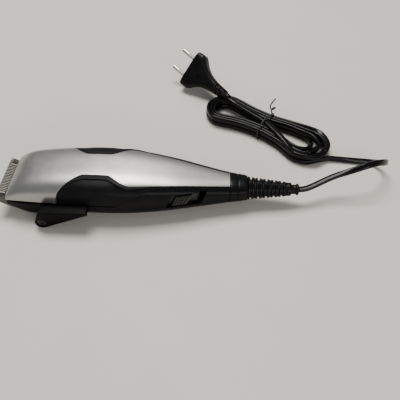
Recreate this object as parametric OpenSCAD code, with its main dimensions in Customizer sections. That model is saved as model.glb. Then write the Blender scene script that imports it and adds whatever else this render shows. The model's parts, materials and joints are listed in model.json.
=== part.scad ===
// Mains hair clipper with a side taper lever, a slide switch and a lead wound into a tied hank.
// Millimetres. X runs from the blade (-) to the lead (+), Y is across, Z is up from the flat underside.

/* [Body] */
// Height of the parting line and of the body's widest point
part_z = 17; // [16:0.1:18]
// Wall thickness of the shells
wall = 2; // [1.6:0.1:2.4]
// Squareness of the upper half of each cross-section
top_power = 3.7; // [3.4:0.1:4]
// Squareness of the lower half of each cross-section
low_power = 2.6; // [2.2:0.1:3.2]
// Rear end of the silver cover
cover_end = 60; // [58:1:60]
// Rear end of the collar
collar_end = 74; // [73:1:75]

/* [Grips] */
// Front foot of the arch over a grip
arch_foot = -68; // [-70:0.1:-66]
// Start of the arch's flat top
arch_front = -48; // [-50:0.5:-46]
// End of the arch's flat top
arch_back = -31.5; // [-34:0.5:-30]
// Where the arch meets the straight edge of the cover
arch_tail = -13; // [-15:0.5:-11]
// Angle from the crown at the arch's flat top, degrees
arch_angle = 11.9; // [11:0.1:14]
// Angle from the crown where the straight edge begins, degrees
tail_angle = 37; // [34:1:40]
// Angle from the crown at the cover's rear end, degrees
rear_angle = 22.7; // [20:0.1:26]

/* [Blade set] */
// Slope of the cutting plane, degrees
blade_slope = 35; // [32:1:38]
// Half-width of the fixed blade at its teeth
blade_half = 21.6; // [20.5:0.1:22]
// Distance from tooth to tooth
tooth_pitch = 1.6; // [1.4:0.1:2]
// Travel of the moving blade to each side
stroke = 1.5; // [1:0.1:1.6]

/* [Lever] */
// Radius of the lever's hub
hub_r = 5; // [4.8:0.1:5.2]
// Width of the lever across the body
lever_w = 8.8; // [8:0.1:9.6]
// Distance of the offset pin from the lever's axis
crank_r = 2.7; // [2:0.1:2.9]

/* [Lead] */
// Half-width of the flat twin lead
cord_r = 2.6; // [2.4:0.1:2.8]
// Height of the wound hank
hank_h = 9.6; // [9:0.1:9.6]

/* [Hidden] */
$fn = 48;

// Body outline: [x, value] at a few stations, joined by smooth curves
half_width = [[-108, 22], [-100, 22.9], [-82, 24.2], [-50, 25.6], [-20, 25.4], [10, 21.4],
  [40, 15.6], [60, 11.9], [66, 11.1], [76, 9]];
top_line = [[-108, 21.7], [-105, 25.2], [-96, 30.6], [-84, 33.2], [-62, 35.2], [-40, 36],
  [-16, 35], [12, 31.3], [40, 26.6], [60, 23.6], [76, 22]];
low_line = [[-108, 10], [-96, 1], [-89, 0], [6, 0], [24, 1.2], [45, 3.2], [66, 5.6], [76, 6]];
// How far the lower curve runs below the flat underside that trims it
flat_cut = 1;
// How much squarer the lower section is at the nose
nose_square = 2.6;
// Roundness of the arch in front of its flat top
arch_power = 1.65;
// How much rounder the section becomes towards the collar, and what that adds to the cover's edge angle
rear_round = 1.6;
rear_angle_gain = 10;
// Height of the lead where it leaves the body
axis_z = 14;
// Nose point on the seat of the blade, where the slope starts
nose_x = -108;
nose_z = 12.9;
fixed_t = 2.4;
fixed_front = -10.5;
fixed_back = 17;
// Lever axis
lever_x = -80.8;
lever_z = 5.7;
lever_y = -26;
shaft_r = 2.5;
crank_pin_r = 1.2;
// Angle of the offset pin at rest, so that its swing is centred along the slope
crank_angle = 90 - blade_slope - 16;
running = 0.05;
// Half-width of the moving blade, which leaves room for its travel between the guide's ends
moving_half = 16.9 - stroke;
// Vibrator drive
pivot_x = -49;
core_z = 9;
core_h = 15;
// Switch, on the lever's side, along the tapering wall
switch_x = 28;
switch_y = -17.4;
switch_z = 18.2;
switch_turn = 10.6;
// Strain relief
relief_start = collar_end;
relief_end = 113.4;
// Hank: centres and radii of its two ends and its waist
hank_left = [57.5, 104.5];
hank_right = [127, 60.5];
hank_mid = [93.3, 83.3];
hank_turn = -32;
left_r = 19;
right_r = 21;
waist_r = 13.5;
// Plug: centre of the front face, direction of the pins, roll
plug_at = [22.1, 152.9, 19.1];
plug_turn = 136.6;
plug_pitch = 10;
plug_roll = -50;
plug_len = 35.8;
plug_back = [47.7, 128.7, 12.9];
plug_relief_turn = 128;
plug_relief_dip = -2;
// Route of the lead from the strain relief to the hank
cord_route = [[113.4, 0, 14], [119, 0.6, 14.5], [127, 3.8, 16], [136, 7.7, 18.4], [144, 10.2, 20.8],
  [152, 11.6, 23.4], [160, 13.2, 26], [168, 15.8, 27.2], [176, 19.6, 26], [183, 25, 21.6],
  [188, 31.4, 15.2], [188.6, 37.2, 8.8], [185.2, 41.6, 4.6], [179, 44, 3], [170, 44.8, 2.8],
  [161, 45.6, 2.8], [152, 46.4, 3], [145.4, 46.4, 3.2]];
// Route of the run from the plug over the top of the hank
plug_route = [[60, 112.9, 13.6], [63, 109.6, 13.5], [70, 103.4, 13.2], [80, 93.6, 12.8],
  [92, 82, 12.6], [105, 70, 12.5], [118, 58.6, 12.5]];

// Smooth curve through a table of [x, value]
function seg(t, x, i = 0) = (i >= len(t) - 2 || x < t[i + 1][0]) ? i : seg(t, x, i + 1);
function grade(t, i) =
  let (a = max(0, i - 1), b = min(len(t) - 1, i + 1))
  (t[b][1] - t[a][1]) / (t[b][0] - t[a][0]);
function curve(t, x) =
  let (i = seg(t, x), h = t[i + 1][0] - t[i][0], u = min(1, max(0, (x - t[i][0]) / h)))
  (2 * u * u * u - 3 * u * u + 1) * t[i][1] + (u * u * u - 2 * u * u + u) * h * grade(t, i)
  + (3 * u * u - 2 * u * u * u) * t[i + 1][1] + (u * u * u - u * u) * h * grade(t, i + 1);
function ease(u) = let (v = min(1, max(0, u))) v * v * (3 - 2 * v);
function rear_ease(x) = ease((x - 20) / 50);

// A point of the body's surface at x, at an angle from the crown, inset by a distance
function skin(x, angle, inset) =
  let (w = curve(half_width, x) - inset,
    up = curve(top_line, x) - part_z - inset,
    low = max(0, curve(low_line, x)),
    down = part_z - low + flat_cut,
    power = cos(angle) > 0
      ? top_power - rear_round * rear_ease(x)
      : low_power + nose_square * ease((-62 - x) / 34),
    s = pow(abs(sin(angle)), 2 / power),
    c = pow(abs(cos(angle)), 2 / power))
  [x, sign(sin(angle)) * w * s, cos(angle) > 0 ? part_z + up * c
    : max(low + inset, part_z - down * c)];

// Height of the cover's outer face at a place in plan
function crown_height(x, y) = part_z + (curve(top_line, x) - part_z)
  * pow(1 - pow(abs(y) / curve(half_width, x), top_power), 1 / top_power);

// Edge of the silver cover, as an angle from the crown
function cover_edge(x) =
  x <= arch_foot ? 90
  : x <= arch_front ? let (u = (arch_front - x) / (arch_front - arch_foot))
    90 - (90 - arch_angle) * pow(1 - pow(u, arch_power), 1 / arch_power)
  : x <= arch_back ? arch_angle
  : x <= arch_tail ? arch_angle
    + (tail_angle - arch_angle) * ease((x - arch_back) / (arch_tail - arch_back))
  : tail_angle + (rear_angle - tail_angle) * (x - arch_tail) / (cover_end - arch_tail)
    + rear_angle_gain * rear_ease(x);
// Lower edge of a grip, which rises to meet the cover at the grip's rear tip
grip_tip = 18;
grip_rise = -26;
function grip_edge(x) =
  x >= grip_tip ? cover_edge(x)
  : 90 + (cover_edge(grip_tip) - 90) * ease((x - grip_rise) / (grip_tip - grip_rise));

nose_stations = [-108, -105.5, -102, -97, -92, -87, -82, -77, -73.5];
arch_stations = [for (k = [0:7]) arch_front - (arch_front - arch_foot) * cos(90 * k / 8)];
back_stations = concat([for (k = [0:3]) arch_front + (arch_back - arch_front) * k / 4],
  [for (k = [0:5]) arch_back + (arch_tail - arch_back) * k / 6],
  [arch_tail], [for (x = [-6:6:54]) x], [cover_end]);
stations = concat(nose_stations, arch_stations, back_stations);
grip_stations = [for (x = stations) if (x > arch_foot && x < grip_tip) x];

// Triangles of a list of four-sided faces
function halves(quads) = [for (q = quads, k = [0, 1]) k == 0 ? [q[0], q[2], q[1]] : [q[0], q[3], q[2]]];

// A curved panel of the body between two edges, with its own thickness
module panel(xs, low_edge, high_edge, count) {
  m = count + 1;
  o = len(xs) * m;
  e = (len(xs) - 1) * m;
  points = [for (inset = [0, wall], x = xs, j = [0:count])
    skin(x, low_edge(x) + (high_edge(x) - low_edge(x)) * j / count, inset)];
  along = [0:len(xs) - 2];
  across = [0:count - 1];
  polyhedron(points, halves(concat(
    [for (i = along, j = across) let (p = i * m + j) [p, p + m, p + m + 1, p + 1]],
    [for (i = along, j = across) let (p = o + i * m + j) [p, p + 1, p + m + 1, p + m]],
    [for (i = along) [i * m, o + i * m, o + i * m + m, i * m + m]],
    [for (i = along) let (p = i * m + count) [p, p + m, o + p + m, o + p]],
    [for (j = across) [j, j + 1, o + j + 1, o + j]],
    [for (j = across) [e + j, o + e + j, o + e + j + 1, e + j + 1]])));
}

// A tube or solid swept through closed rings of points
module rings(rows) {
  n = len(rows[0]);
  last = (len(rows) - 1) * n;
  polyhedron([for (r = rows, p = r) p], concat(
    halves([for (i = [0:len(rows) - 2], j = [0:n - 1])
      let (a = i * n + j, b = i * n + (j + 1) % n) [a, a + n, b + n, b]]),
    [for (j = [1:n - 2]) [0, j + 1, j]],
    [for (j = [1:n - 2]) [last, last + j, last + j + 1]]));
}

function unit(v) = v / norm(v);
function knot(p, i) = p[min(len(p) - 1, max(0, i))];
// Point of a smooth line through the route's points
function spline(p, i, u) =
  0.5 * (2 * p[i] + (knot(p, i + 1) - knot(p, i - 1)) * u
    + (2 * knot(p, i - 1) - 5 * p[i] + 4 * knot(p, i + 1) - knot(p, i + 2)) * u * u
    + (3 * p[i] - knot(p, i - 1) - 3 * knot(p, i + 1) + knot(p, i + 2)) * u * u * u);

module cord(route, per, sides) {
  line = concat([for (i = [0:len(route) - 2], k = [0:per - 1]) spline(route, i, k / per)],
    [route[len(route) - 1]]);
  rings([for (i = [0:len(line) - 1])
    let (t = unit(knot(line, i + 1) - knot(line, i - 1)), s = unit(cross(t, [0, 0, 1])),
      v = cross(s, t))
    [for (j = [0:sides - 1])
      line[i] + cord_r * (cos(360 * j / sides) * s + sin(360 * j / sides) * v)]]);
}

module rod(r, from, to) translate([0, 0, from]) cylinder(r = r, h = to - from);
module along_x(x, y, z) translate([x, y, z]) rotate([0, 90, 0]) children();
module along_y(x, y, z) translate([x, y, z]) rotate([-90, 0, 0]) children();
module on_slope() translate([nose_x, 0, nose_z]) rotate([0, blade_slope, 0]) children();
module both_sides() {
  children();
  mirror([0, 1, 0]) children();
}
module on_switch() translate([switch_x, switch_y, switch_z]) rotate([0, 0, switch_turn]) children();

// Places of the four screws that hold the two shells together
screw_places = [[-66, -14], [-66, 14], [12, -7.5], [12, 7.5]];

module top_cover() color("silver") {
  panel(stations, function(x) -cover_edge(x), function(x) cover_edge(x), 16);
  for (p = screw_places) translate([p[0], p[1], 0]) difference() {
    rod(2.8, part_z + 0.4, crown_height(p[0], p[1]) - 1);
    rod(1.2, part_z, 24);
  }
}

module housing_shell() panel(stations, function(x) grip_edge(x), function(x) 360 - grip_edge(x), 22);

module lower_housing() color([0.06, 0.06, 0.065]) difference() {
  union() {
    housing_shell();
    on_slope() translate([10.5, -20, 0]) cube([6.7, 40, 2.2]);
    on_slope() translate([14, -19, -1.5]) cube([5, 38, 3.7]);
    along_y(lever_x, lever_y + 0.8, lever_z) cylinder(r = 4.7, h = 9.2);
    for (p = screw_places) translate([p[0], p[1], 0]) rod(3.2, 0.7 + max(0, p[0] / 12), part_z);
    for (y = [-11, 11]) translate([-14.5, y, 0]) rod(3, 1, core_z);
    translate([pivot_x, 0, 0]) rod(3.2, 1, core_z - 0.4);
    for (y = [-16.6, 16.6]) translate([-57, y, 0]) rod(1.9, 1.2, 20);
    for (y = [-6, 6]) translate([57, y, 0]) rod(2, 6.8, 12);
  }
  on_slope() translate([-20, -30, -6]) cube([20 + fixed_back + 0.2, 60, 6]);
  along_y(lever_x, -27, lever_z) cylinder(r = shaft_r + running, h = 15);
  for (p = screw_places) translate([p[0], p[1], 0]) {
    rod(1.25, -1, part_z + 1);
    rod(2.7, -1, 3);
  }
  for (y = [-11, 11]) translate([-14.5, y, 0]) rod(1.2, 2.5, 10);
  translate([pivot_x, 0, 0]) rod(1.5, 2.5, 10);
  for (y = [-6, 6]) translate([57, y, 0]) rod(1, 8, 13);
  for (y = [-14.5, 14.5]) on_slope() translate([13.6, y, 0]) rod(1.4, -3, 8);
  on_switch() translate([0, 6, 0]) rotate([90, 0, 0]) linear_extrude(12)
    polygon([[-16.5, -6], [10, -6], [15.5, 6], [-11, 6]]);
}

module grip(side) panel(grip_stations,
  side > 0 ? function(x) cover_edge(x) : function(x) -grip_edge(x),
  side > 0 ? function(x) grip_edge(x) : function(x) -cover_edge(x), 8);
module lever_side_grip() color([0.09, 0.09, 0.09]) grip(-1);
module plain_side_grip() color([0.09, 0.09, 0.09]) grip(1);

module rear_collar() color([0.07, 0.07, 0.075]) difference() {
  rings([for (x = [cover_end, 62, 64, 66, 70, collar_end])
    [for (j = [0:35]) skin(x, 10 * j, x == cover_end ? 0.3 : 0)]]);
  along_x(cover_end - 1, 0, axis_z) cylinder(r = 6.2, h = 20);
}

module cord_section(from, to, grow) along_x(from, 0, axis_z) linear_extrude(to - from) {
  for (y = [-1, 1]) translate([0, y]) circle(r = 1.6 + grow);
  square([3.2 + 2 * grow, 2], center = true);
}

module cord_strain_relief() color([0.05, 0.05, 0.05]) difference() {
  union() {
    along_x(66, 0, axis_z) cylinder(r = 6.2, h = 8);
    along_x(relief_start, 0, axis_z) cylinder(r1 = 7, r2 = 4.6, h = 29);
    for (k = [0:9]) along_x(relief_start + 0.2 + 3 * k, 0, axis_z)
      cylinder(r1 = 9 - 0.35 * k, r2 = 8.8 - 0.35 * k, h = 1.6);
    along_x(103, 0, axis_z) cylinder(r = 5.2, h = 4.2);
    along_x(107.2, 0, axis_z) cylinder(r = 3.8, h = 5);
    along_x(111.6, 0, axis_z) cylinder(r = 4.4, h = relief_end - 111.6);
  }
  cord_section(65, relief_end + 1, 0);
}

module inner_cord() color([0.04, 0.04, 0.04]) cord_section(53, relief_end, 0);

module housing_screws() color("gray") for (p = screw_places) translate([p[0], p[1], 0]) {
  rod(2.5, 1.4, 3);
  rod(1.2, 3, 22);
}

module teeth_gaps(half, front, gap, depth) {
  count = floor(half / tooth_pitch);
  for (k = [-count:count - 1]) translate([front - 1, (k + 0.5) * tooth_pitch - gap / 2, -6])
    cube([depth + 1, gap, 12]);
}

module fixed_blade() color([0.72, 0.72, 0.72]) on_slope() difference() {
  translate([0, 0, -fixed_t]) linear_extrude(fixed_t - 0.02)
    polygon([[fixed_front, -blade_half + 1], [fixed_front + 1, -blade_half], [1, -blade_half],
      [fixed_back, -20], [fixed_back, 20], [1, blade_half], [fixed_front + 1, blade_half],
      [fixed_front, blade_half - 1]]);
  teeth_gaps(19.4, fixed_front, 0.72, 5.2);
  translate([fixed_front, 0, -0.5]) rotate([0, -14, 0]) translate([-12, -30, 0]) cube([18, 60, 6]);
  translate([fixed_front, 0, -2]) rotate([0, 16, 0]) translate([-12, -30, -6]) cube([16, 60, 6]);
  for (y = [-14.5, 14.5]) translate([13.6, y, 0]) {
    rod(1.4, -4, 1);
    rod(2.7, -4, -1.2);
  }
}

module moving_blade() color([0.8, 0.8, 0.8]) on_slope() difference() {
  translate([-8.6, -moving_half, 0.05]) cube([14, 2 * moving_half, 1.5]);
  teeth_gaps(14.4, -8.6, 0.8, 4.6);
  translate([-8.6, 0, 0.5]) rotate([0, -16, 0]) translate([-6, -30, 0]) cube([10, 60, 6]);
}

module blade_driver() color("ivory") on_slope() difference() {
  translate([1.5, -3.2, 1.55]) cube([6.5, 6.4, 3.05]);
  translate([2.6, -1.05, 2.4]) cube([4.4, 2.1, 6]);
}

module cutter_guide() color("ivory") on_slope() {
  difference() {
    translate([0, -13, 1.7]) cube([9.5, 26, 1.2]);
    translate([0.6, -5.6, 0]) cube([8.3, 11.2, 6]);
  }
  translate([0, -9.4, 0]) rotate([90, 0, 0]) difference() {
    linear_extrude(2.6)
      polygon([[5, 1.7], [9.5, 1.7], [10.2, 2.7], [30.8, 9.4], [30.8, 15.3], [24, 15.3], [7, 4.5],
        [5, 4.5]]);
    translate([27.15 - crank_pin_r - 0.03, 10.66, -1]) cube([2 * crank_pin_r + 0.06, 3.4, 5]);
  }
}

module blade_screws() color("gray") for (y = [-14.5, 14.5]) on_slope() translate([13.6, y, 0])
  difference() {
    union() {
      rod(2.6, -2.3, -1.2);
      rod(1.4, -1.2, 6);
    }
    translate([-0.35, -3, -3]) cube([0.7, 6, 1.2]);
  }

module blade_spring() color("lightgray") on_slope() for (y = [-8.2, 10.6]) translate([0, y, 0]) {
  translate([1, 0, 3.2]) cube([16, 1.2, 0.5]);
  translate([15.8, 0, 2.2]) cube([1.2, 1.2, 1]);
}

module taper_lever() color([0.03, 0.03, 0.03]) difference() {
  translate([0, lever_y, 0]) rotate([90, 0, 0]) linear_extrude(lever_w) hull() {
    translate([lever_x, lever_z]) circle(r = hub_r);
    translate([-80, 17.2]) circle(r = 1);
    translate([-45.6, 17.8]) circle(r = 1.3);
  }
  along_y(lever_x, lever_y - lever_w - 1, lever_z) cylinder(r = 3.7, h = 3.6);
  along_y(lever_x, lever_y - lever_w, lever_z) cylinder(r = shaft_r, h = lever_w + 1);
}

module lever_screw() color([0.12, 0.12, 0.12]) along_y(lever_x, lever_y - lever_w + 1, lever_z)
  difference() {
    cylinder(r = 3.4, h = 1.6);
    for (a = [0, 90]) rotate([0, 0, a]) translate([-2, -0.35, -1]) cube([4, 0.7, 2]);
  }

module lever_washer() color("lightgray") along_y(lever_x, lever_y + 0.06, lever_z) difference() {
  cylinder(r = 4.6, h = 0.6);
  translate([0, 0, -1]) cylinder(r = shaft_r, h = 3);
}

module lever_eccentric() color("white") {
  along_y(lever_x, lever_y - lever_w + 2.6, lever_z) cylinder(r = shaft_r, h = lever_w - 2.6 - lever_y - 13);
  along_y(lever_x, -14, lever_z) cylinder(r = 3.5, h = 1);
  along_y(lever_x + crank_r * cos(crank_angle), -13, lever_z + crank_r * sin(crank_angle))
    cylinder(r = crank_pin_r, h = 4.4);
}

module core_outline() polygon([[-44, -14.5], [-11, -14.5], [-11, 14.5], [-44, 14.5], [-44, 11],
  [-18, 11], [-18, 4], [-44, 4], [-44, -4], [-18, -4], [-18, -11], [-44, -11]]);

module magnet_core() color([0.45, 0.46, 0.48]) difference() {
  translate([0, 0, core_z]) linear_extrude(core_h) core_outline();
  for (y = [-11, 11]) translate([-14.5, y, 0]) rod(1.2, 0, 40);
}

module coil_bobbin() color("ivory") difference() {
  union() {
    translate([-41, -5.2, core_z - 1.2]) cube([22, 10.4, core_h + 2.4]);
    for (x = [-41, -20]) translate([x, -10.6, 2.8]) cube([1, 21.2, 27.4]);
  }
  translate([-45, -4, core_z]) cube([30, 8, core_h]);
}

module coil_winding() color([0.72, 0.36, 0.16]) difference() {
  translate([-40, -10, 3.4]) cube([20, 20, 26.2]);
  translate([-45, -5.2, core_z - 1.2]) cube([30, 10.4, core_h + 2.4]);
}

module core_screws() color("gray") for (y = [-11, 11]) translate([-14.5, y, 0]) {
  rod(1.2, 3, 26);
  rod(2.2, 26, 27.6);
}

module drive_bracket() color("silver") difference() {
  union() {
    for (y = [-14.5, 11.2]) translate([-53, y, 24.4]) cube([42, 3.3, 1.6]);
    translate([-53, -14.5, 24.4]) cube([8, 29, 1.6]);
    for (y = [-14.5, 11.2]) translate([-18, y, core_z + core_h]) cube([7, 3.3, 0.6]);
  }
  translate([pivot_x, 0, 0]) rod(1.5, 20, 30);
  for (y = [-11, 11]) translate([-14.5, y, 0]) rod(1.2, 20, 30);
}

module armature() color([0.45, 0.46, 0.48]) difference() {
  translate([-52, -14.5, core_z]) cube([6.4, 29, core_h]);
  translate([pivot_x, 0, 0]) rod(1.5 + running, 0, 40);
}

module armature_arm() color("ivory") {
  translate([0, 0, 15.6]) linear_extrude(2.8)
    polygon([[-52, -8], [-52, 8], [-60, 8], [-70, 4], [-98, 2.4], [-101.4, 1.6], [-101.4, -1.6],
      [-98, -2.4], [-70, -4], [-60, -8]]);
  on_slope() translate([4, 0, 0]) rod(1, 3, 8.6);
}

module armature_pivot() color("lightgray") translate([pivot_x, 0, 0]) rod(1.5, 2.5, 27);

module return_springs() color("lightgray") both_sides() along_y(-57, 8.7, 17) difference() {
  cylinder(r = 2, h = 6);
  translate([0, 0, -1]) cylinder(r = 1.4, h = 8);
}

module switch_slider() color([0.1, 0.1, 0.1]) on_switch() {
  translate([0, 2.4, 0]) rotate([90, 0, 0]) linear_extrude(2.6)
    polygon([[-11.7, -4.6], [-0.4, -4.6], [3.8, 4.6], [-7.5, 4.6]]);
  for (k = [0:3]) translate([2.3 * k - 9.2, -0.2, 0]) rotate([90, 0, 0]) linear_extrude(0.7)
    polygon([[-0.6, -4], [0.5, -4], [4.2, 4], [3.1, 4]]);
  translate([-18, 2.4, -4.6]) cube([26, 1, 8.2]);
}

module switch_body() color([0.16, 0.16, 0.16]) on_switch() translate([-12, 4.6, -5]) cube([22, 5.4, 9]);

module switch_contacts() color("gold") on_switch() for (x = [-7, 4]) translate([x, 5, -9])
  cube([2.6, 0.6, 4]);

module terminal_block() color("white") difference() {
  translate([41.5, -5, 9.8]) cube([9, 10, 8]);
  for (y = [-2.4, 2.4]) translate([46, y, 0]) rod(1.3, 14, 20);
}

module cord_clamp() color("ivory") difference() {
  translate([54.6, -8, axis_z + 1.6]) cube([4.8, 16, 2.6]);
  for (y = [-6, 6]) translate([57, y, 0]) rod(1.1, 10, 30);
}

module clamp_screws() color("gray") for (y = [-6, 6]) translate([57, y, 0]) {
  rod(1, 8.4, axis_z + 4.2);
  rod(1.8, axis_z + 4.2, axis_z + 5.4);
}

module lead_wires() color("brown") for (y = [-2.4, 2.4]) along_x(50.5, y / 2, axis_z - 1)
  cylinder(r = 0.9, h = 2.5);

module mains_cord() color([0.04, 0.04, 0.04]) cord(cord_route, 3, 8);
module plug_lead() color([0.04, 0.04, 0.04]) cord(plug_route, 3, 8);

module hank_outline() {
  hull() {
    translate(hank_left) circle(r = left_r);
    translate(hank_mid) circle(r = waist_r);
  }
  hull() {
    translate(hank_right) circle(r = right_r);
    translate(hank_mid) circle(r = waist_r);
  }
}

module cord_hank() color([0.05, 0.05, 0.05]) linear_extrude(hank_h) hank_outline();

module cord_tie() color([0.08, 0.08, 0.08]) translate([hank_mid[0], hank_mid[1], 0])
  rotate([0, 0, hank_turn]) {
    difference() {
      translate([-1.2, -waist_r - 1.4, 0]) cube([2.4, 2 * waist_r + 2.8, hank_h + 6.4]);
      translate([-2, -waist_r - 0.6, -1]) cube([4, 2 * waist_r + 1.2, hank_h + 6.8]);
    }
    translate([0, waist_r + 0.6, hank_h + 5]) rotate([-18, 20, 0]) cylinder(r = 0.8, h = 11);
  }

module at_plug() translate(plug_at) rotate([0, -plug_pitch, plug_turn]) rotate([plug_roll, 0, 0])
  rotate([0, 90, 0]) children();

module plug_slice(z, half_y, half_x, r) translate([0, 0, z]) linear_extrude(0.4) hull()
  for (x = [-1, 1], y = [-1, 1]) translate([x * (half_x - r), y * (half_y - r)]) circle(r = r, $fn = 24);

module plug_body() color([0.06, 0.06, 0.06]) at_plug() {
  hull() {
    plug_slice(-0.4, 17.6, 6.4, 4);
    plug_slice(-7.6, 18, 6.8, 4);
  }
  hull() {
    plug_slice(-7.6, 18, 6.8, 4);
    plug_slice(-14, 15.6, 6.8, 4);
  }
  hull() {
    plug_slice(-14, 15.6, 6.8, 4);
    plug_slice(-25, 8.6, 6.2, 4);
  }
  hull() {
    plug_slice(-25, 8.6, 6.2, 4);
    plug_slice(-plug_len, 5.4, 5.2, 4);
  }
}

module plug_relief() color([0.05, 0.05, 0.05]) difference() {
  translate(plug_back) rotate([0, 0, plug_relief_turn - 180])
    rotate([0, 90 + plug_relief_dip, 0]) {
    cylinder(r1 = 3.9, r2 = 2.6, h = 20);
    for (k = [0:1]) translate([0, 0, 1 + 3 * k]) cylinder(r = 4.9 - 0.3 * k, h = 1.5);
  }
  at_plug() translate([-20, -20, -plug_len]) cube(40);
}

module plug_pins() color("silver") at_plug() for (y = [-9.3, 9.3]) translate([0, y, 0]) {
  rod(2, 10.02, 18);
  translate([0, 0, 17]) sphere(r = 2);
  rod(1.5, 0, 10);
}

module plug_pin_sleeves() color([0.8, 0.8, 0.8]) at_plug() for (y = [-9.3, 9.3])
  translate([0, y, 0]) difference() {
    rod(2, 0, 10);
    rod(1.5, -1, 11);
  }

top_cover();
lower_housing();
lever_side_grip();
plain_side_grip();
rear_collar();
cord_strain_relief();
housing_screws();
fixed_blade();
moving_blade();
blade_driver();
cutter_guide();
blade_screws();
blade_spring();
taper_lever();
lever_screw();
lever_washer();
lever_eccentric();
magnet_core();
coil_bobbin();
coil_winding();
core_screws();
drive_bracket();
armature();
armature_arm();
armature_pivot();
return_springs();
switch_slider();
switch_body();
switch_contacts();
terminal_block();
cord_clamp();
clamp_screws();
lead_wires();
inner_cord();
mains_cord();
cord_hank();
cord_tie();
plug_lead();
plug_body();
plug_relief();
plug_pins();
plug_pin_sleeves();
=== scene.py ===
"""Hair clipper: the finished look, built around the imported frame.

Lengths in this file are in millimetres until they reach a mesh, where MM turns them to metres.
X runs from the blade (-) to the lead (+), Y across, Z up from the table.
"""
import json
import math
import random

import bmesh
import bpy
from mathutils import Matrix, Vector


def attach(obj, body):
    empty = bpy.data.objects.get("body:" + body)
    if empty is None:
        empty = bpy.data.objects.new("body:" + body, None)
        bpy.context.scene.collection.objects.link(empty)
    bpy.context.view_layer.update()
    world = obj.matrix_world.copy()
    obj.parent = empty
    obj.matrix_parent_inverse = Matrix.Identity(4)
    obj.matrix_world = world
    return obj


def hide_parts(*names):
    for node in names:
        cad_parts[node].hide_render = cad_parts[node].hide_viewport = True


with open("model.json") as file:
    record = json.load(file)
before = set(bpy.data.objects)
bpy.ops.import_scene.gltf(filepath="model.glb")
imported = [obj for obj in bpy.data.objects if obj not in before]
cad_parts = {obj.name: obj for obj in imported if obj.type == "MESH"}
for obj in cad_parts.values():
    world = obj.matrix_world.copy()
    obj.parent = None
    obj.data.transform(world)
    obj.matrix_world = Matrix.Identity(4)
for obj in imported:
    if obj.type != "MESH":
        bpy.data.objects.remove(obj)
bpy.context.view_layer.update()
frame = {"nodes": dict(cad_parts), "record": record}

MM = 0.001


# ---------------------------------------------------------------- camera
LENS = 39.6                       # focal length on a 36 mm wide sensor
CAMERA_AT = (46.1, -228.6, 270.4)
CAMERA_PITCH = 50.0               # degrees below the horizon
CAMERA_YAW = -2.27                # degrees to the right of +Y


def add_camera():
    """The one camera, at the angle that the object is shown from."""
    data = bpy.data.cameras.new("camera")
    data.lens = LENS
    data.sensor_width = 36.0
    data.clip_start = 0.01
    camera = bpy.data.objects.new("camera", data)
    camera.location = Vector(CAMERA_AT) * MM
    camera.rotation_euler = (math.radians(90 - CAMERA_PITCH), 0, math.radians(-CAMERA_YAW))
    bpy.context.collection.objects.link(camera)
    bpy.context.scene.camera = camera


# ---------------------------------------------------------------- materials
def node_material(name, color, rough, metallic=0.0, coat=0.0, vary=0.15, vary_size=3.0,
                  rough_vary=0.08, grain=0.1, grain_size=0.3, stretch=(1, 1, 1), flakes=0.0, gloss=0.5):
    """A procedural material: colour drift, roughness drift and surface grain, sizes in mm."""
    mat = bpy.data.materials.new(name)
    mat.use_nodes = True
    nodes, links = mat.node_tree.nodes, mat.node_tree.links
    shader = nodes["Principled BSDF"]
    shader.inputs["Metallic"].default_value = metallic
    shader.inputs["Coat Weight"].default_value = coat
    shader.inputs["Specular IOR Level"].default_value = gloss
    shader.inputs["Coat Roughness"].default_value = 0.12
    place = nodes.new("ShaderNodeTexCoord")
    scale = nodes.new("ShaderNodeMapping")
    scale.inputs["Scale"].default_value = stretch
    links.new(place.outputs["Object"], scale.inputs["Vector"])

    def noise(size, detail):
        n = nodes.new("ShaderNodeTexNoise")
        n.inputs["Scale"].default_value = 1.0 / (size * MM)
        n.inputs["Detail"].default_value = detail
        links.new(scale.outputs["Vector"], n.inputs["Vector"])
        return n

    drift = noise(vary_size, 3)
    ramp = nodes.new("ShaderNodeValToRGB")
    low, high = ramp.color_ramp.elements
    low.position, high.position = 0.3, 0.7
    low.color = [c * (1 - vary) for c in color] + [1]
    high.color = [min(1.0, c * (1 + vary)) for c in color] + [1]
    links.new(drift.outputs["Fac"], ramp.inputs["Fac"])
    tint = ramp.outputs["Color"]
    if flakes:
        speck = noise(0.12, 0)
        mix = nodes.new("ShaderNodeMix")
        mix.data_type = "RGBA"
        mix.blend_type = "ADD"
        spread = nodes.new("ShaderNodeMapRange")
        spread.inputs["From Min"].default_value = 0.58
        spread.inputs["From Max"].default_value = 0.75
        spread.inputs["To Max"].default_value = flakes
        links.new(speck.outputs["Fac"], spread.inputs["Value"])
        links.new(spread.outputs["Result"], mix.inputs["Factor"])
        links.new(tint, mix.inputs["A"])
        mix.inputs["B"].default_value = (0.5, 0.5, 0.5, 1)
        tint = mix.outputs["Result"]
    links.new(tint, shader.inputs["Base Color"])

    wear = noise(vary_size * 0.6, 5)
    rough_map = nodes.new("ShaderNodeMapRange")
    rough_map.inputs["To Min"].default_value = max(0.03, rough - rough_vary)
    rough_map.inputs["To Max"].default_value = rough + rough_vary
    links.new(wear.outputs["Fac"], rough_map.inputs["Value"])
    links.new(rough_map.outputs["Result"], shader.inputs["Roughness"])

    if grain:
        fine = noise(grain_size, 2)
        bump = nodes.new("ShaderNodeBump")
        bump.inputs["Strength"].default_value = grain
        bump.inputs["Distance"].default_value = 0.0001
        links.new(fine.outputs["Fac"], bump.inputs["Height"])
        links.new(bump.outputs["Normal"], shader.inputs["Normal"])
    return mat


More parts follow.
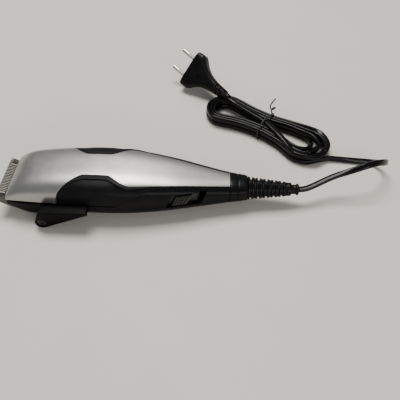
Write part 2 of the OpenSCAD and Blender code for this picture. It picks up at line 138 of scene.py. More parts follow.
def sheet_stack_material():
    """Core steel whose stacked sheets show as fine level lines."""
    mat = node_material("core_steel", (0.24, 0.24, 0.25), 0.45, metallic=0.9, grain=0.0)
    nodes, links = mat.node_tree.nodes, mat.node_tree.links
    place = nodes.new("ShaderNodeTexCoord")
    wave = nodes.new("ShaderNodeTexWave")
    wave.bands_direction = "Z"
    wave.inputs["Scale"].default_value = 310
    bump = nodes.new("ShaderNodeBump")
    bump.inputs["Distance"].default_value = 0.0002
    bump.inputs["Strength"].default_value = 0.6
    links.new(place.outputs["Object"], wave.inputs["Vector"])
    links.new(wave.outputs["Fac"], bump.inputs["Height"])
    links.new(bump.outputs["Normal"], nodes["Principled BSDF"].inputs["Normal"])
    return mat


def winding_material():
    """Enamelled wire laid side by side round the coil."""
    mat = node_material("copper_wire", (0.5, 0.2, 0.07), 0.3, metallic=0.8, grain=0.0)
    nodes, links = mat.node_tree.nodes, mat.node_tree.links
    place = nodes.new("ShaderNodeTexCoord")
    wave = nodes.new("ShaderNodeTexWave")
    wave.bands_direction = "X"
    wave.inputs["Scale"].default_value = 600
    bump = nodes.new("ShaderNodeBump")
    bump.inputs["Distance"].default_value = 0.0003
    links.new(place.outputs["Object"], wave.inputs["Vector"])
    links.new(wave.outputs["Fac"], bump.inputs["Height"])
    links.new(bump.outputs["Normal"], nodes["Principled BSDF"].inputs["Normal"])
    return mat


MAT = {
    "silver_paint": node_material("silver_paint", (0.33, 0.33, 0.315), 0.34, metallic=0.9, coat=0.08,
                                  vary=0.05, vary_size=9, rough_vary=0.05, grain=0.06,
                                  grain_size=0.25, flakes=0.45),
    "black_housing": node_material("black_housing", (0.004, 0.0042, 0.0045), 0.3, gloss=0.08,
                                   vary=0.25, vary_size=12, grain=0.12, grain_size=0.35),
    "grip_black": node_material("grip_black", (0.005, 0.005, 0.0055), 0.42, gloss=0.08,
                                vary=0.25, vary_size=10, grain=0.3, grain_size=0.22),
    "relief_black": node_material("relief_black", (0.004, 0.004, 0.004), 0.34, gloss=0.12, vary=0.3,
                                  vary_size=6, grain=0.25, grain_size=0.3),
    "blade_steel": node_material("blade_steel", (0.11, 0.105, 0.095), 0.48, metallic=1.0, vary=0.1,
                                 vary_size=2, grain=0.35, grain_size=0.1, stretch=(1, 0.04, 1)),
    "screw_steel": node_material("screw_steel", (0.45, 0.45, 0.45), 0.32, metallic=1.0),
    "lever_black": node_material("lever_black", (0.0015, 0.0015, 0.0016), 0.4, gloss=0.05, vary=0.3,
                                 vary_size=8, grain=0.3, grain_size=0.3),
    "white_plastic": node_material("white_plastic", (0.72, 0.7, 0.64), 0.45, vary=0.05),
    "spring_steel": node_material("spring_steel", (0.55, 0.55, 0.55), 0.25, metallic=1.0),
    "core_steel": sheet_stack_material(),
    "copper_wire": winding_material(),
    "switch_black": node_material("switch_black", (0.01, 0.01, 0.01), 0.3, gloss=0.3, vary=0.2, grain=0.25),
    "contact_brass": node_material("contact_brass", (0.72, 0.53, 0.25), 0.25, metallic=1.0),
    "cord_black": node_material("cord_black", (0.003, 0.003, 0.0034), 0.2, gloss=0.16, vary=0.3,
                                vary_size=5, rough_vary=0.1, grain=0.15, grain_size=0.5),
    "tie_black": node_material("tie_black", (0.005, 0.005, 0.005), 0.5, grain=0.4),
    "pin_nickel": node_material("pin_nickel", (0.5, 0.48, 0.44), 0.2, metallic=1.0, vary=0.06,
                                grain=0.1),
    "sleeve_grey": node_material("sleeve_grey", (0.42, 0.41, 0.38), 0.4, vary=0.06, grain=0.1),
}


# ---------------------------------------------------------------- mesh helpers
def add_mesh(name, points, faces, slot, smooth=True):
    """A new piece from points in millimetres."""
    mesh = bpy.data.meshes.new(name)
    mesh.from_pydata([Vector(p) * MM for p in points], [], faces)
    bm = bmesh.new()
    bm.from_mesh(mesh)
    bmesh.ops.recalc_face_normals(bm, faces=bm.faces)
    bm.to_mesh(mesh)
    bm.free()
    if smooth:
        mesh.shade_smooth()
    obj = bpy.data.objects.new(name, mesh)
    bpy.context.collection.objects.link(obj)
    obj.data.materials.append(MAT[slot])
    return obj


def add_bevel(obj, width, segments=3, angle=32):
    """Rounds the edges that are sharper than an angle."""
    bevel = obj.modifiers.new("edges", "BEVEL")
    bevel.width = width * MM
    bevel.segments = segments
    bevel.limit_method = "ANGLE"
    bevel.angle_limit = math.radians(angle)
    bevel.harden_normals = True
    return obj


def cut(obj, cutters, operation="DIFFERENCE"):
    """Boolean with each cutter in turn, applied to the mesh; the cutters are removed."""
    for cutter in cutters:
        mod = obj.modifiers.new("cut", "BOOLEAN")
        mod.operation = operation
        mod.solver = "EXACT"
        mod.object = cutter
        bpy.context.view_layer.update()
        shape = bpy.data.meshes.new_from_object(obj.evaluated_get(bpy.context.evaluated_depsgraph_get()))
        obj.modifiers.clear()
        old, obj.data = obj.data, shape
        bpy.data.meshes.remove(old)
        bpy.data.objects.remove(cutter)
    obj.data.shade_smooth()
    obj.data.set_sharp_from_angle(angle=math.radians(30))
    return obj


def cutter_prism(outline, depth, matrix):
    """A prism of a 2D outline, from 0 to depth along its own Z, then placed."""
    n = len(outline)
    points = [(x, y, z) for z in (0, depth) for x, y in outline]
    faces = [list(range(n))[::-1], list(range(n, 2 * n))]
    faces += [[i, (i + 1) % n, n + (i + 1) % n, n + i] for i in range(n)]
    mesh = bpy.data.meshes.new("cutter")
    mesh.from_pydata([matrix @ Vector(p) * MM for p in points], [], faces)
    obj = bpy.data.objects.new("cutter", mesh)
    bpy.context.collection.objects.link(obj)
    return obj


def circle(radius, count=48, centre=(0, 0)):
    """Points round a circle."""
    return [(centre[0] + radius * math.cos(2 * math.pi * i / count),
             centre[1] + radius * math.sin(2 * math.pi * i / count)) for i in range(count)]


def loft(name, rings, slot, caps=True):
    """A closed skin through rings of equal length."""
    n = len(rings[0])
    points = [p for ring in rings for p in ring]
    faces = [[i * n + j, i * n + (j + 1) % n, (i + 1) * n + (j + 1) % n, (i + 1) * n + j]
             for i in range(len(rings) - 1) for j in range(n)]
    if caps:
        faces += [list(range(n)), list(range(len(points) - n, len(points)))]
    return add_mesh(name, points, faces, slot)


def ease(u):
    """Smooth step from 0 to 1."""
    v = min(1.0, max(0.0, u))
    return v * v * (3 - 2 * v)


# ---------------------------------------------------------------- body surface
PART_Z = 17.0         # height of the line where the silver cover meets the black housing
AXIS_Z = 14.0         # height of the lead where it leaves the body
WALL = 1.8            # a little thinner than the frame's, to clear the pieces inside
TOP_POWER, LOW_POWER = 3.7, 2.6   # squareness of the section above and below the parting line
NOSE_SQUARE = 2.6     # how much squarer the lower section is at the nose
FLAT_CUT = 1.0        # how far the lower curve runs below the flat underside that trims it
REAR_ROUND = 1.6      # how much rounder the section becomes towards the collar
REAR_ANGLE_GAIN = 10.0   # what that adds to the angle of the cover's edge
COVER_END, COLLAR_END = 60.0, 74.0
ARCH_FOOT, ARCH_FRONT, ARCH_BACK, ARCH_TAIL = -68.0, -48.0, -31.5, -13.0
ARCH_POWER = 1.65     # roundness of the arch in front of its flat top
# Angles of the cover's edge from the crown: on top of the arch, behind it and at the rear
ARCH_ANGLE, TAIL_ANGLE, REAR_ANGLE = 11.9, 37.0, 22.7
GRIP_RISE, GRIP_TIP = -26.0, 18.0     # where a grip's lower edge starts to rise, and where it ends
HALF_WIDTH = [(-108, 22), (-100, 22.9), (-82, 24.2), (-50, 25.6), (-20, 25.4), (10, 21.4),
              (40, 15.6), (60, 11.9), (66, 11.1), (76, 9)]
TOP_LINE = [(-108, 21.7), (-105, 25.2), (-96, 30.6), (-84, 33.2), (-62, 35.2), (-40, 36), (-16, 35),
            (12, 31.3), (40, 26.6), (60, 23.6), (76, 22)]
LOW_LINE = [(-108, 10), (-96, 1), (-89, 0), (6, 0), (24, 1.2), (45, 3.2), (66, 5.6), (76, 6)]


def curve(table, x):
    """Smooth curve through a table of (x, value)."""
    i = 0
    while i < len(table) - 2 and x >= table[i + 1][0]:
        i += 1

    def grade(k):
        a, b = table[max(0, k - 1)], table[min(len(table) - 1, k + 1)]
        return (b[1] - a[1]) / (b[0] - a[0])

    h = table[i + 1][0] - table[i][0]
    u = min(1.0, max(0.0, (x - table[i][0]) / h))
    return ((2 * u ** 3 - 3 * u * u + 1) * table[i][1] + (u ** 3 - 2 * u * u + u) * h * grade(i)
            + (3 * u * u - 2 * u ** 3) * table[i + 1][1] + (u ** 3 - u * u) * h * grade(i + 1))


def rear_ease(x):
    """How far the section has turned from square to round, towards the collar."""
    return ease((x - 20) / 50)


def skin(x, angle, inset=0.0):
    """A point of the body at x, at an angle in degrees from the crown, inset by a distance."""
    a = math.radians(angle)
    width = curve(HALF_WIDTH, x) - inset
    up = curve(TOP_LINE, x) - PART_Z - inset
    low = max(0.0, curve(LOW_LINE, x))
    down = PART_Z - low + FLAT_CUT
    if math.cos(a) > 0:
        power = TOP_POWER - REAR_ROUND * rear_ease(x)
    else:
        power = LOW_POWER + NOSE_SQUARE * ease((-62 - x) / 34)
    s = abs(math.sin(a)) ** (2 / power)
    c = abs(math.cos(a)) ** (2 / power)
    y = math.copysign(width * s, math.sin(a))
    return (x, y, PART_Z + up * c if math.cos(a) > 0 else max(low + inset, PART_Z - down * c))


def cover_edge(x):
    """Edge of the silver cover, in degrees from the crown."""
    if x <= ARCH_FOOT:
        return 90.0
    if x <= ARCH_FRONT:
        u = (ARCH_FRONT - x) / (ARCH_FRONT - ARCH_FOOT)
        return 90 - (90 - ARCH_ANGLE) * (1 - u ** ARCH_POWER) ** (1 / ARCH_POWER)
    if x <= ARCH_BACK:
        return ARCH_ANGLE
    if x <= ARCH_TAIL:
        return ARCH_ANGLE + (TAIL_ANGLE - ARCH_ANGLE) * ease((x - ARCH_BACK) / (ARCH_TAIL - ARCH_BACK))
    straight = TAIL_ANGLE + (REAR_ANGLE - TAIL_ANGLE) * (x - ARCH_TAIL) / (COVER_END - ARCH_TAIL)
    return straight + REAR_ANGLE_GAIN * rear_ease(x)


def grip_edge(x):
    """Lower edge of a grip, which rises to meet the cover at the grip's rear tip."""
    if x >= GRIP_TIP:
        return cover_edge(x)
    return 90 + (cover_edge(GRIP_TIP) - 90) * ease((x - GRIP_RISE) / (GRIP_TIP - GRIP_RISE))


def steps(start, end, pitch):
    """Equal steps from start, without the end."""
    n = max(1, round(abs(end - start) / pitch))
    return [start + (end - start) * k / n for k in range(n)]


def stations(start, end, pitch=1.0):
    """X positions along the body, closer together at the foot of the arch."""
    xs = steps(-108, -102, 0.4) + steps(-102, ARCH_FOOT, pitch)
    arch = 40
    xs += [ARCH_FRONT - (ARCH_FRONT - ARCH_FOOT) * math.cos(math.pi / 2 * k / arch) for k in range(arch)]
    xs += steps(ARCH_FRONT, COVER_END, pitch) + [COVER_END]
    return [x for x in xs if start <= x <= end]


def panel(name, xs, low_edge, high_edge, count, slot, relief=None):
    """A curved shell between two edges; relief(x, angle) lifts or sinks its outer face."""
    m = count + 1
    points = []
    for inset in (0.0, WALL):
        for x in xs:
            a, b = low_edge(x), high_edge(x)
            for j in range(m):
                angle = a + (b - a) * j / count
                lift = relief(x, angle) if relief and not inset else 0.0
                points.append(skin(x, angle, inset - lift))
    o, e = len(xs) * m, (len(xs) - 1) * m
    faces = []
    for i in range(len(xs) - 1):
        for j in range(count):
            p = i * m + j
            faces += [[p, p + m, p + m + 1, p + 1], [o + p, o + p + 1, o + p + m + 1, o + p + m]]
        p = i * m
        q = p + count
        faces += [[p, o + p, o + p + m, p + m], [q, q + m, o + q + m, o + q]]
    for j in range(count):
        faces += [[j, j + 1, o + j + 1, o + j], [e + j, o + e + j, o + e + j + 1, e + j + 1]]
    return add_mesh(name, points, faces, slot)


# ---------------------------------------------------------------- shells
SEAM = 0.14          # half the width of the gap between two shells
SEAM_ANGLE = 0.36    # the same gap, as degrees round the body


def top_cover():
    """The silver shell."""
    cover = panel("cover_shell", stations(-108, COVER_END),
                  lambda x: -cover_edge(x + SEAM) + SEAM_ANGLE,
                  lambda x: cover_edge(x + SEAM) - SEAM_ANGLE, 96, "silver_paint")
    add_bevel(cover, 0.35)
    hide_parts("top_cover")
    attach(cover, "housing")


RIM_WIDTH, RIM_LIFT, HOLLOW = 3.4, 0.35, 0.55
SIDE_RADIUS = 21.0    # turns an angle round the body into a distance


def side_distance(angle):
    """How far round the body an angle from the crown lies."""
    return math.radians(angle) * SIDE_RADIUS


RIM_LINE = [(x, side_distance(cover_edge(x))) for x in stations(ARCH_FOOT + 0.1, GRIP_TIP, 0.6)]


def grip_relief(x, angle):
    """A raised rim along the arch, then a step down into the shallow hollow for the fingers."""
    s = side_distance(abs(angle))
    away = min(math.hypot(x - px, s - ps) for px, ps in RIM_LINE)
    width = RIM_WIDTH * ease((x + 66) / 18) * (1 - ease((x + 14) / 22))
    if width < 0.25:
        return 0.0
    strength = width / RIM_WIDTH
    rise = RIM_LIFT * strength * ease(away / width)
    drop = (RIM_LIFT + HOLLOW) * strength * ease((away - width) / 0.7)
    fill = HOLLOW * strength * ease((away - width - 2) / 10)
    return rise - drop + fill


def grips():
    """The black insert in each arch, one on the lever's side and its mirror image."""
    def upper(x):
        return cover_edge(x - SEAM) + SEAM_ANGLE

    def lower(x):
        return max(upper(x) + 0.4, grip_edge(x) - SEAM_ANGLE / 2)

    xs = stations(ARCH_FOOT + 0.2, GRIP_TIP - 2, 0.6)
    sides = (("lever_side_grip", lambda x: -lower(x), lambda x: -upper(x)),
             ("plain_side_grip", upper, lower))
    for node, start, end in sides:
        grip = panel(node + "_pad", xs, start, end, 56, "grip_black", grip_relief)
        add_bevel(grip, 0.25, 2, 50)
        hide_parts(node)
        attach(grip, "housing")


NOSE = Vector((-108, 0, 12.9))
SLOPE = 35.0
ON_SLOPE = Matrix.Translation(NOSE) @ Matrix.Rotation(math.radians(SLOPE), 4, "Y")
BLADE_BACK = 17.2
SWITCH_AT, SWITCH_TURN = (28.0, -17.4, 18.2), 10.6
ON_SWITCH = Matrix.Translation(SWITCH_AT) @ Matrix.Rotation(math.radians(SWITCH_TURN), 4, "Z")
# Places of the housing screws
SCREWS = [(-66, -14), (-66, 14), (12, -7.5), (12, 7.5)]
LEVER_X, LEVER_Z, LEVER_Y, LEVER_W, HUB_R = -80.8, 5.7, -26.0, 8.8, 5.0
TO_XZ = Matrix.Rotation(math.radians(90), 4, "X")


def lower_housing():
    """The black shell with its openings, and the seat, floor and bosses moulded on it."""
    shell = panel("housing_shell", stations(-108, COVER_END),
                  lambda x: grip_edge(x) + SEAM_ANGLE / 2,
                  lambda x: 360 - grip_edge(x) - SEAM_ANGLE / 2, 128, "black_housing")
    pocket = [(-20, -6), (BLADE_BACK, -6), (BLADE_BACK, 0), (-20, 0)]
    cutters = [cutter_prism(pocket, 60,
                            ON_SLOPE @ Matrix.Translation((0, 30, 0)) @ TO_XZ)]
    opening = [(-16.5, -6), (10, -6), (15.5, 6), (-11, 6)]
    cutters.append(cutter_prism(opening, 12, ON_SWITCH @ Matrix.Translation((0, 6, 0)) @ TO_XZ))
    cutters.append(cutter_prism(circle(2.6), 9, Matrix.Translation((LEVER_X, -15.5, LEVER_Z)) @ TO_XZ))
    for x, y in SCREWS:
        cutters.append(cutter_prism(circle(2.7), 4, Matrix.Translation((x, y, -1))))
    cut(shell, cutters)
    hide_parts("lower_housing")
    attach(shell, "housing")

    # Seat of the lever's hub on the housing's side
    seat = loft("lever_seat", [[(LEVER_X + r * math.cos(a), y, LEVER_Z + r * math.sin(a))
                                for a in [math.tau * k / 64 for k in range(64)]]
                               for y, r in ((-19.0, 4.7), (-24.9, 4.7), (-25.15, 4.45), (-25.2, 2.6),
                                            (-19.0, 2.6))], "black_housing", caps=False)
    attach(seat, "housing")

    # Floor of the nose that the fixed blade is screwed to
    floor = cutter_prism([(10.5, 0.02), (BLADE_BACK - 0.1, 0.02), (BLADE_BACK - 0.1, 2.2), (10.5, 2.2)],
                         38.4, ON_SLOPE @ Matrix.Translation((0, 19.2, 0)) @ TO_XZ)
    floor.name = floor.data.name = "nose_floor"
    floor.data.materials.append(MAT["black_housing"])
    add_bevel(floor, 0.3)
    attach(floor, "housing")

    # Bosses that the screws pass through
    for k, (x, y) in enumerate(SCREWS):
        base = max(0.0, x / 12) + 1.9
        boss = loft(f"screw_boss_{k}", [[(x + r * math.cos(a), y + r * math.sin(a), z)
                                         for a in [math.tau * i / 40 for i in range(40)]]
                                        for z, r in ((base, 3.6), (base + 0.8, 3.2), (PART_Z - 0.3, 3.1),
                                                     (PART_Z, 2.8), (PART_Z, 1.3), (base, 1.3))],
                    "black_housing", caps=False)
        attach(boss, "housing")


def rear_collar():
    """The ring behind the shells: a short straight band, a groove, then the cone to the relief."""
    rows = [(COVER_END + 0.15, 6.0), (COVER_END + 0.15, 0.3), (60.45, 0.02), (62, 0), (64, 0), (65.5, 0),
            (65.8, 0.1), (65.9, 0.45), (66.3, 0.45), (66.4, 0.12), (66.8, 0), (68, 0), (70, 0),
            (72, 0.05), (73.4, 0.25), (73.9, 0.7), (COLLAR_END, 1.4)]
    rings = [[skin(x, 360 * j / 96, inset) for j in range(96)] for x, inset in rows]
    collar = loft("rear_ring", rings, "black_housing", caps=False)
    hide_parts("rear_collar")
    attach(collar, "housing")


# ---------------------------------------------------------------- strain relief
RELIEF_START, RELIEF_END = COLLAR_END, 113.4
RIBS, RIB_PITCH = 10, 3.0


def ribbed_sleeve(name, start, ribs, pitch, core, rib, tail, slot, matrix, webs=4):
    """A tapered sleeve with rounded ribs, joined by webs that alternate from gap to gap.

    core and rib are (radius at the root, radius at the last rib); tail is a list of
    (distance past the last rib, radius)."""
    around = 96
    length = ribs * pitch
    rings = []
    fine = 14
    for i in range(ribs * fine + 1):
        d = i * pitch / fine
        f = d / length
        base = core[0] + (core[1] - core[0]) * f
        top = rib[0] + (rib[1] - rib[0]) * f
        phase = (d / pitch) % 1.0
        hump = ease((0.30 - abs(phase - 0.32)) / 0.09)
        gap = int(d / pitch)
        ring = []
        for j in range(around):
            a = math.tau * j / around
            swing = math.cos(webs * a + (math.pi if gap % 2 else 0))
            web = 0.72 * ease((swing - 0.35) / 0.3)
            r = base + (top - base) * max(hump, web * (1 - hump) if phase > 0.5 else hump)
            ring.append((start + d, r * math.cos(a), r * math.sin(a)))
        rings.append(ring)
    for d, r in tail:
        rings.append([(start + length + d, r * math.cos(math.tau * j / around),
                       r * math.sin(math.tau * j / around)) for j in range(around)])
    rings = [[matrix @ Vector(p) for p in ring] for ring in rings]
    return loft(name, rings, slot)


def strain_relief():
    """The ribbed sleeve, then its shoulder, neck and end flange."""
    past = RELIEF_START + RIBS * RIB_PITCH
    tail = [(0.0, 5.1), (0.25, 5.3), (3.2, 5.2), (3.5, 4.9), (3.7, 4.0), (4.4, 3.75), (7.2, 3.7),
            (7.6, 4.2), (7.8, 4.45), (9.0, 4.45), (9.3, 4.2), (RELIEF_END - past, 3.9)]
    sleeve = ribbed_sleeve("relief_sleeve", RELIEF_START, RIBS, RIB_PITCH, (6.9, 4.6), (9.1, 5.8),
                           tail, "relief_black", Matrix.Translation((0, 0, AXIS_Z)))
    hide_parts("cord_strain_relief")
    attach(sleeve, "housing")


# ---------------------------------------------------------------- taper lever
def hull_outline(circles, count=28):
    """Outline round a convex set of circles (x, z, r), by support directions."""
    outline = []
    total = count * 4
    for i in range(total):
        a = math.tau * i / total
        d = (math.cos(a), math.sin(a))
        x, z, r = max(circles, key=lambda c: c[0] * d[0] + c[1] * d[1] + c[2])
        outline.append((x + r * d[0], z + r * d[1]))
    return outline


def taper_lever():
    """A wedge that widens from the tip to the hub, with a recess for the screw."""
    outline = hull_outline([(LEVER_X, LEVER_Z, HUB_R), (-80.0, 17.2, 1.0), (-45.6, 17.8, 1.3)])
    lever = cutter_prism(outline, LEVER_W, Matrix.Translation((0, LEVER_Y, 0)) @ TO_XZ)
    lever.name = lever.data.name = "lever_arm"
    lever.data.materials.append(MAT["lever_black"])
    recess = cutter_prism(circle(3.7, 64, (LEVER_X, LEVER_Z)), 5,
                          Matrix.Translation((0, LEVER_Y - LEVER_W + 2.6, 0)) @ TO_XZ)
    cut(lever, [recess])
    add_bevel(lever, 0.55, 4)
    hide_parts("taper_lever")
    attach(lever, "lever")


# ---------------------------------------------------------------- lead
CORD_WIDE, CORD_THICK = 5.2, 3.0
CORD_ROUTE = [(113.4, 0, 14), (119, 0.6, 14.5), (127, 3.8, 16), (136, 7.7, 18.4), (144, 10.2, 20.8),
              (152, 11.6, 23.4), (160, 13.2, 26), (168, 15.8, 27.2), (176, 19.6, 26), (183, 25, 21.6),
              (188, 31.4, 15.2), (188.6, 37.2, 8.8), (185.2, 41.6, 4.6), (179, 44, 3), (170, 44.8, 2.8),
              (161, 45.6, 2.8), (152, 46.4, 3), (145.4, 46.4, 3.2)]
HANK_MID, HANK_TURN = (92.5, 82.0), -32.0
RIGHT_A, LEFT_A = 40.6, -40.9       # places of the two ends' centres along the hank
RIGHT_R, LEFT_R, WAIST = 21.0, 19.0, 12.0
# Each turn: its inset from the outline at the right end, left end and waist, its height, and how far
# its right end falls short of the outline's
TURNS = [(1.6, 1.6, 1.6, 3.2, 0), (5.4, 4.8, 4.7, 3.2, 0), (9.8, 8.2, 7.8, 3.2, 8),
         (10.2, 7.6, 7.6, 8.4, 4), (6.4, 4.6, 4.6, 8.4, 0), (2.4, 1.8, 1.8, 8.4, 0)]
UP = Vector((0, 0, 1))


def on_hank(a, p, z):
    """A point a along the hank and p across it."""
    t = math.radians(HANK_TURN)
    return Vector((HANK_MID[0] + a * math.cos(t) - p * math.sin(t),
                   HANK_MID[1] + a * math.sin(t) + p * math.cos(t), z))


def hank_points():
    """Six turns, clockwise: inward in the lower layer, then outward in the upper one."""
    rng = random.Random(3)
    points = []
    left = (-100, -125, -150, -180, -210, -235, -260)
    right = (100, 75, 50, 25, 0, -25, -50)
    for k, (inset_r, inset_l, inset_w, z, short) in enumerate(TURNS):
        following = TURNS[min(k + 1, len(TURNS) - 1)]

        def lobe(angle, centre, radius, inset, height):
            r = radius - inset + rng.uniform(-0.25, 0.25)
            a = math.radians(angle)
            height += rng.uniform(-0.1, 0.1)
            points.append(on_hank(centre + r * math.cos(a), r * math.sin(a), height))

        if k == 0:
            for angle in (-62, -82):
                lobe(angle, RIGHT_A - short, RIGHT_R, inset_r, z)
        lobe(-102, RIGHT_A - short, RIGHT_R, inset_r, z)
        points.append(on_hank(20, -(WAIST - inset_w) - 2.6, z))
        points.append(on_hank(0, -(WAIST - inset_w), z))
        points.append(on_hank(-20, -(WAIST - inset_w) - 1.4, z))
        for angle in left:
            lobe(angle, LEFT_A, LEFT_R, inset_l, z)
        points.append(on_hank(-20, WAIST - inset_w + 4.0, z))
        points.append(on_hank(0, WAIST - inset_w + 3.4, z))
        points.append(on_hank(20, WAIST - inset_w + 6.0, z))
        for i, angle in enumerate(right):
            f = ease(i / len(right))
            centre = RIGHT_A - short - (following[4] - short) * f
            lobe(angle, centre, RIGHT_R, inset_r + (following[0] - inset_r) * f, z + (following[3] - z) * f)
        if k < len(TURNS) - 1:
            lobe(-76, RIGHT_A - following[4], RIGHT_R, following[0], following[3])
    return points


PLUG_BACK, PLUG_RELIEF_TURN, PLUG_RELIEF_DIP = Vector((47.7, 128.7, 12.9)), 128.0, -2.0
TOP_RUN = [(37, -17.6, 9.6), (29, -14.0, 11.6), (20, -9.6, 12.7), (10, -4.6, 12.8), (0, -0.2, 12.8),
           (-12, 2.6, 12.8), (-24, 5.0, 12.8), (-36, 7.6, 13.0)]


def plug_relief_end(back):
    """A point that far before the end of the plug's strain relief, or past it if negative."""
    a, dip = math.radians(PLUG_RELIEF_TURN - 180), math.radians(PLUG_RELIEF_DIP)
    along = Vector((math.cos(a) * math.cos(dip), math.sin(a) * math.cos(dip), -math.sin(dip)))
    return PLUG_BACK + along * (20 - back)


def smooth_line(points, step):
    """A centripetal Catmull-Rom line through the points, resampled at equal steps."""
    pts = [2 * points[0] - points[1]] + list(points) + [2 * points[-1] - points[-2]]
    fine = []
    for i in range(1, len(pts) - 2):
        p0, p1, p2, p3 = pts[i - 1:i + 3]
        t0 = 0.0
        t1 = t0 + max(1e-6, (p1 - p0).length ** 0.5)
        t2 = t1 + max(1e-6, (p2 - p1).length ** 0.5)
        t3 = t2 + max(1e-6, (p3 - p2).length ** 0.5)
        for k in range(12):
            t = t1 + (t2 - t1) * k / 12
            a1 = p0 * ((t1 - t) / (t1 - t0)) + p1 * ((t - t0) / (t1 - t0))
            a2 = p1 * ((t2 - t) / (t2 - t1)) + p2 * ((t - t1) / (t2 - t1))
            a3 = p2 * ((t3 - t) / (t3 - t2)) + p3 * ((t - t2) / (t3 - t2))
            b1 = a1 * ((t2 - t) / (t2 - t0)) + a2 * ((t - t0) / (t2 - t0))
            b2 = a2 * ((t3 - t) / (t3 - t1)) + a3 * ((t - t1) / (t3 - t1))
            fine.append(b1 * ((t2 - t) / (t2 - t1)) + b2 * ((t - t1) / (t2 - t1)))
    fine.append(points[-1])
    out, carry = [fine[0]], 0.0
    for a, b in zip(fine, fine[1:]):
        d = (b - a).length
        while carry + d >= step:
            a = a.lerp(b, (step - carry) / d)
            out.append(a)
            d = (b - a).length
            carry = 0.0
        carry += d
    if (out[-1] - fine[-1]).length > 0.3 * step:
        out.append(fine[-1])
    return out


def twin_section(count=10):
    """Outline of the flat twin lead: two round halves with a shallow groove between."""
    half = CORD_THICK / 2
    offset = CORD_WIDE / 2 - half
    out = []
    for side in (1, -1):
        for k in range(count):
            a = math.radians(-75 + 150 * k / (count - 1))
            out.append((side * (offset + half * math.cos(a)), side * half * math.sin(a)))
    return out


def sweep(name, line, wide, section, slot):
    """Sweeps a section along a line; wide gives the section's wide direction at each point."""
    rings = []
    for i, p in enumerate(line):
        t = (line[min(i + 1, len(line) - 1)] - line[max(i - 1, 0)]).normalized()
        w = (wide[i] - t * wide[i].dot(t)).normalized()
        n = t.cross(w)
        rings.append([p + w * u + n * v for u, v in section])
    return loft(name, rings, slot)


def lead():
    """The whole lead as one flat twin cord, with the line that it follows."""
    free = [Vector(p) for p in CORD_ROUTE]
    hank = hank_points()
    top = [on_hank(*p) for p in TOP_RUN]
    line = smooth_line(free + hank + top + [plug_relief_end(-1.2), plug_relief_end(2)], 1.4)
    total = sum((b - a).length for a, b in zip(line, line[1:]))

    # The wide side lies level at the exit, tilts through the free loop, stands upright in the hank
    # and lies level again on the run over it. Each mark: distance along the lead, wide direction
    marks = [(0.0, Vector((0, 1, 0))), (28.0, Vector((0, 1, 0.1))), (62.0, Vector((0, 0.66, 0.75))),
             (118.0, Vector((0.1, 0.5, 0.86))), (150.0, UP), (total - 175.0, UP),
             (total - 128.0, Vector((0.53, 0.848, 0))), (total, Vector((0.67, 0.74, 0)))]
    wide, run, k = [], 0.0, 0
    for i, p in enumerate(line):
        run += (p - line[i - 1]).length if i else 0.0
        while k < len(marks) - 2 and run > marks[k + 1][0]:
            k += 1
        f = ease((run - marks[k][0]) / (marks[k + 1][0] - marks[k][0]))
        wide.append(marks[k][1].lerp(marks[k + 1][1], f).normalized())
    cord = sweep("lead", line, wide, twin_section(), "cord_black")
    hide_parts("mains_cord", "cord_hank", "plug_lead")
    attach(cord, "housing")
    return cord, line


def tie():
    """A twisted wire tie round the hank's waist, with a small loop and a tail."""
    low, far, high = -WAIST - 1.0, WAIST + 4.4, 15.6
    around = [(low, 6), (low + 0.2, 1.2), (low + 1.4, 0.75), (0, 0.75), (far - 1.4, 0.75),
              (far - 0.2, 1.2), (far, 6), (far - 0.4, 10.5), (far - 4, 13.2), (3, high), (-3, high),
              (low + 4, 13.0), (low + 0.4, 10.5)]
    ring = [on_hank(0.5 * math.sin(i), p, z) for i, (p, z) in enumerate(around)]
    ring = smooth_line(ring + [ring[0], ring[1]], 0.8)
    tail = [on_hank(0, 13.4, 12.4), on_hank(-1.6, 14.6, 13.6), on_hank(-2.0, 16.6, 15.4),
            on_hank(0.4, 17.0, 17.6), on_hank(0.6, 14.8, 17.4), on_hank(-2.2, 14.4, 16.0),
            on_hank(-4.2, 16.2, 17.8), on_hank(-3.4, 18.4, 21.2), on_hank(-1.6, 20.0, 24.6)]
    tail = smooth_line(tail, 0.6)
    section = circle(0.62, 10)
    pieces = []
    for name, line in (("tie_ring", ring), ("tie_tail", tail)):
        piece = sweep(name, line, [Vector((0.848, -0.53, 0.05))] * len(line), section, "tie_black")
        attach(piece, "housing")
        pieces.append(piece)
    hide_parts("cord_tie")
    return pieces


# ---------------------------------------------------------------- plug
PLUG_AT, PLUG_TURN, PLUG_ROLL = (22.1, 152.9, 19.1), 136.6, -50.0
PLUG_PITCH = 10.0     # the neck lies low beside the hank, so the pins point a little upward
ON_PLUG = (Matrix.Translation(PLUG_AT) @ Matrix.Rotation(math.radians(PLUG_TURN), 4, "Z")
           @ Matrix.Rotation(math.radians(-PLUG_PITCH), 4, "Y")
           @ Matrix.Rotation(math.radians(PLUG_ROLL), 4, "X"))


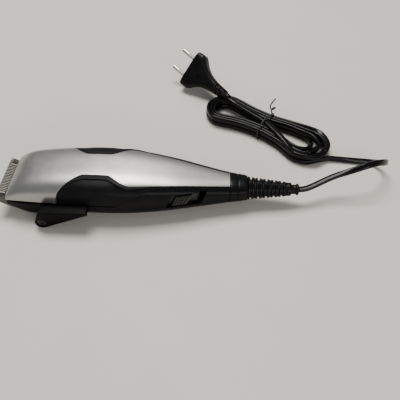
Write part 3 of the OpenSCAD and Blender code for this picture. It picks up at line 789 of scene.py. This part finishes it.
def plug():
    """Front flange, then sides that sweep in to the neck; all in the plug's own frame (X forward)."""
    rows = [(0.0, 16.0, 5.0), (0.0, 17.0, 6.0), (-0.25, 17.55, 6.45), (-0.8, 17.9, 6.7), (-2, 18, 6.8),
            (-7.0, 18, 6.8), (-7.8, 17.85, 6.8), (-8.6, 17.4, 6.8), (-10.0, 16.1, 6.8), (-12.4, 13.8, 6.75),
            (-15.2, 11.6, 6.65), (-19, 9.4, 6.45), (-22.8, 7.9, 6.15), (-26.6, 6.9, 5.8), (-31, 6.0, 5.4),
            (-34.3, 5.5, 5.15), (-35.5, 5.2, 4.9), (-35.8, 4.7, 4.5)]
    around = 72
    rings = []
    for x, wide, thick in rows:
        power = 2.4 + 2.4 * ease((x + 34) / 24)
        ring = []
        for j in range(around):
            a = math.tau * j / around
            c, s = math.cos(a), math.sin(a)
            y = math.copysign(wide * abs(c) ** (2 / power), c)
            z = math.copysign(thick * abs(s) ** (2 / power), s)
            ring.append(ON_PLUG @ Vector((x, y, z)))
        rings.append(ring)
    body = loft("plug_shell", rings, "relief_black")
    add_bevel(body, 0.2, 2, 40)
    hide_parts("plug_body")
    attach(body, "housing")

    turn = (Matrix.Translation(PLUG_BACK) @ Matrix.Rotation(math.radians(PLUG_RELIEF_TURN - 180), 4, "Z")
            @ Matrix.Rotation(math.radians(PLUG_RELIEF_DIP), 4, "Y"))
    sleeve = ribbed_sleeve("plug_sleeve", -0.6, 5, 2.9, (4.2, 3.2), (5.5, 4.5),
                           [(0.0, 3.4), (0.3, 3.5), (5.2, 3.3), (5.7, 3.1), (6.0, 2.7)], "relief_black",
                           turn, webs=2)
    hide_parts("plug_relief")
    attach(sleeve, "housing")
    return body, sleeve


# ---------------------------------------------------------------- pieces kept from the frame
# Each node that stays, with the width of the bevel on its edges
KEPT = {
    "fixed_blade": 0.1, "moving_blade": 0.08, "blade_driver": 0.3, "cutter_guide": 0.25,
    "blade_screws": 0.15, "blade_spring": 0.1, "lever_screw": 0.15, "lever_washer": 0.1,
    "lever_eccentric": 0.2, "magnet_core": 0.2, "coil_bobbin": 0.2, "coil_winding": 0.8,
    "core_screws": 0.2, "drive_bracket": 0.2, "armature": 0.3, "armature_arm": 0.3,
    "armature_pivot": 0.15, "return_springs": 0.1, "switch_slider": 0.22, "switch_body": 0.3,
    "switch_contacts": 0.1, "terminal_block": 0.3, "cord_clamp": 0.3, "clamp_screws": 0.15,
    "lead_wires": 0.1, "inner_cord": 0.2, "housing_screws": 0.2, "plug_pins": 0.0,
    "plug_pin_sleeves": 0.1,
}


def finish_frame_pieces():
    """Gives the frame's own pieces their materials and a small bevel."""
    slots = {s["node"]: s["material_slot"] for s in frame["record"]["subparts"]}
    for node, width in KEPT.items():
        obj = frame["nodes"][node]
        obj.data.materials.clear()
        obj.data.materials.append(MAT[slots[node]])
        if width:
            add_bevel(obj, width, 2)


# ---------------------------------------------------------------- room
def add_stage():
    """A plain pale table top."""
    mat = node_material("table_top", (0.60, 0.575, 0.52), 0.6, vary=0.012, vary_size=60, grain=0.0)
    half = 4.0
    mesh = bpy.data.meshes.new("table")
    mesh.from_pydata([(-half, -half, 0), (half, -half, 0), (half, half, 0), (-half, half, 0)], [],
                     [(0, 1, 2, 3)])
    table = bpy.data.objects.new("table", mesh)
    table.data.materials.append(mat)
    bpy.context.collection.objects.link(table)


def area_light(name, at, target, size, power, color=(1, 1, 1)):
    """A soft rectangular light that faces a target; metres and watts."""
    data = bpy.data.lights.new(name, "AREA")
    data.shape = "RECTANGLE"
    data.size, data.size_y = size
    data.energy = power
    data.color = color
    obj = bpy.data.objects.new(name, data)
    obj.location = at
    obj.rotation_euler = (Vector(target) - Vector(at)).to_track_quat("-Z", "Y").to_euler()
    bpy.context.collection.objects.link(obj)


def add_lights():
    """A soft key light behind, a low window in front and a pale room."""
    world = bpy.data.worlds.new("room")
    bpy.context.scene.world = world
    world.use_nodes = True
    world.node_tree.nodes["Background"].inputs["Color"].default_value = (0.86, 0.87, 0.9, 1)
    world.node_tree.nodes["Background"].inputs["Strength"].default_value = 0.3
    area_light("key_behind", (-0.15, 0.62, 1.5), (0, 0, 0), (0.9, 0.7), 36, (1, 0.98, 0.94))
    area_light("front_window", (0.45, -1.15, 0.42), (0, 0, 0.02), (1.5, 0.45), 11, (1, 1, 1))


# ---------------------------------------------------------------- the whole object
add_camera()
cord, line = lead()
tie_pieces = tie()
plug_pieces = plug()
top_cover()
grips()
lower_housing()
rear_collar()
strain_relief()
taper_lever()
finish_frame_pieces()
add_stage()
add_lights()
bpy.context.view_layer.update()
